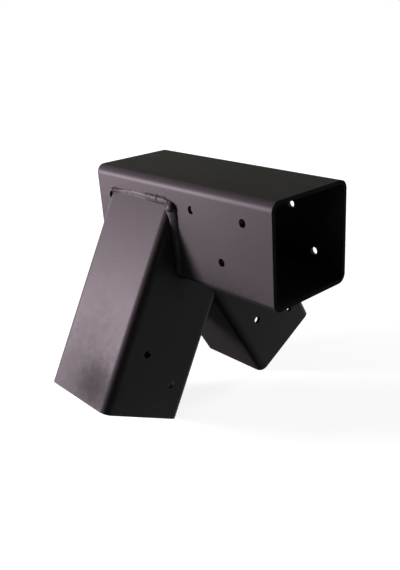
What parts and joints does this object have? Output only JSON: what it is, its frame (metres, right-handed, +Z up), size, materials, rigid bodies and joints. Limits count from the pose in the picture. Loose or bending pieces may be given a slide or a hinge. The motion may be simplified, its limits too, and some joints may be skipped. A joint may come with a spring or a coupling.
{
  "type": "swing beam bracket",
  "caption": "Welded square-tube bracket: a level sleeve for a swing beam on spread leg sleeves, with staggered screw holes, black coated steel.",
  "frame": {"origin": "on the floor under the middle of the beam sleeve, where the leg sleeves' lowest edges stand", "axes": "+X along the beam towards its free end, +Y across the bracket, +Z up"},
  "size_m": [0.251, 0.3066, 0.2569],
  "materials": {
    "coated_tube": "satin black powder coat",
    "coated_weld": "satin black powder coat over weld"
  },
  "bodies": {
    "root": {"beam_sleeve": "coated_tube", "front_leg_sleeve": "coated_tube", "rear_leg_sleeve": "coated_tube", "right_saddle_weld": "coated_weld", "left_saddle_weld": "coated_weld", "front_top_weld": "coated_weld", "rear_top_weld": "coated_weld", "mitre_weld": "coated_weld"}
  },
  "joints": []
}
